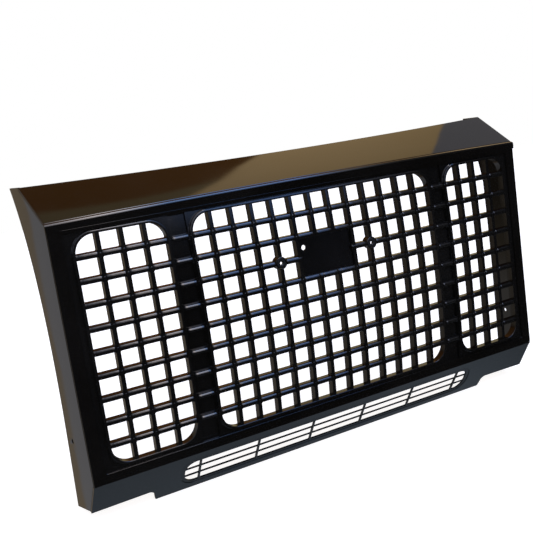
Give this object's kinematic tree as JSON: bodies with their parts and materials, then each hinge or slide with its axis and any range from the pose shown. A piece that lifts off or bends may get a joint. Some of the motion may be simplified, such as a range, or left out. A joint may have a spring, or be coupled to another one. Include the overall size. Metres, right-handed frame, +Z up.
{
  "type": "front grille",
  "caption": "Gloss black vehicle grille: crowned square mesh in a flat frame, ribbed pillars, blank badge plate, sloping top panel, side cheeks and a slotted lower apron.",
  "frame": {"origin": "middle of the grille's bounding box", "axes": "+X to the right of someone facing the grille, +Y back into the vehicle, +Z up"},
  "size_m": [0.8478, 0.1446, 0.4838],
  "materials": {
    "shell_black": "gloss black, lightly dusty",
    "mesh_black": "gloss black",
    "plate_black": "satin to gloss black",
    "bush_black": "satin black",
    "screw_steel": "zinc plated"
  },
  "bodies": {
    "root": {"face_frame": "shell_black", "top_panel": "shell_black", "left_cheek": "shell_black", "right_cheek": "shell_black", "lower_apron": "shell_black", "left_mesh": "mesh_black", "centre_mesh": "mesh_black", "right_mesh": "mesh_black", "left_pillar": "mesh_black", "right_pillar": "mesh_black", "badge_plate": "plate_black", "left_badge_bush": "bush_black", "right_badge_bush": "bush_black", "lower_vent": "mesh_black", "mesh_screw_01": "screw_steel", "mesh_screw_02": "screw_steel", "mesh_screw_03": "screw_steel", "mesh_screw_04": "screw_steel", "mesh_screw_05": "screw_steel", "mesh_screw_06": "screw_steel", "mesh_screw_07": "screw_steel", "mesh_screw_08": "screw_steel", "mesh_screw_09": "screw_steel", "mesh_screw_10": "screw_steel", "mesh_screw_11": "screw_steel", "mesh_screw_12": "screw_steel"}
  },
  "joints": []
}
